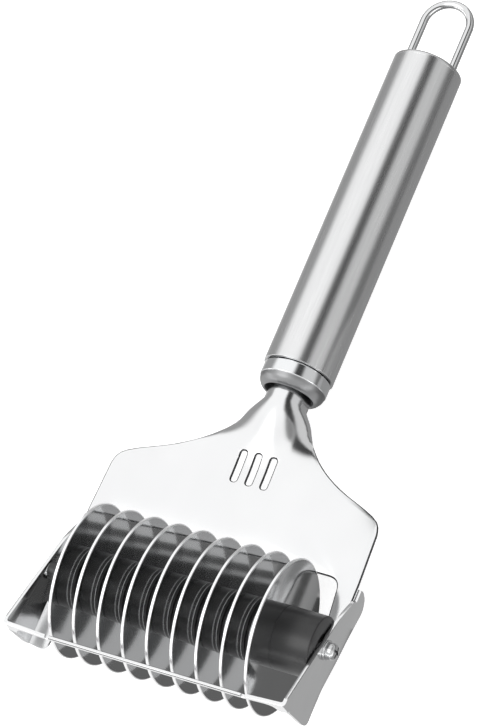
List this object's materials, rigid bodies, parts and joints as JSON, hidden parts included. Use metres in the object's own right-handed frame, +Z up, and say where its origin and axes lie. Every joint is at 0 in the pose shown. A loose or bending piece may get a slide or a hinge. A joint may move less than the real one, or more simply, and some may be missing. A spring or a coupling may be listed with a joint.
{
  "type": "noodle cutter roller",
  "caption": "Hand-held dough cutter: steel discs on a free-turning roller in a bent guard, flat head plate, round tube handle with hanging loop.",
  "frame": {"origin": "middle of the outline's box on the ground under the tool, which lies on its discs", "axes": "+X along the roller axle, +Y from the guard bar to the hanging loop, +Z up"},
  "size_m": [0.0984, 0.2454, 0.0482],
  "materials": {
    "sheet_steel": "polished sheet",
    "disc_steel": "mirror polished",
    "bright_steel": "bright turned",
    "brushed_steel": "brushed satin",
    "black_plastic": "smooth, slightly shiny"
  },
  "bodies": {
    "frame": {"head_plate": "sheet_steel", "guard": "sheet_steel", "collar": "bright_steel", "neck_filler": "bright_steel", "handle_tube": "brushed_steel", "handle_end_cap": "brushed_steel", "hanging_loop": "bright_steel", "axle": "bright_steel", "washer": "bright_steel", "screw": "bright_steel"},
    "roller": {"cutting_disc_1": "disc_steel", "cutting_disc_2": "disc_steel", "cutting_disc_3": "disc_steel", "cutting_disc_4": "disc_steel", "cutting_disc_5": "disc_steel", "cutting_disc_6": "disc_steel", "cutting_disc_7": "disc_steel", "cutting_disc_8": "disc_steel", "cutting_disc_9": "disc_steel", "spacer_1": "black_plastic", "spacer_2": "black_plastic", "spacer_3": "black_plastic", "spacer_4": "black_plastic", "spacer_5": "black_plastic", "spacer_6": "black_plastic", "spacer_7": "black_plastic", "spacer_8": "black_plastic", "end_hub_left": "black_plastic", "end_hub_right": "black_plastic"}
  },
  "joints": [
    {"name": "roller_spin", "type": "hinge", "parent": "frame", "child": "roller", "pos_m": [-0.0015, -0.09794, 0.0241], "axis": [1, 0, 0], "continuous": true}
  ]
}
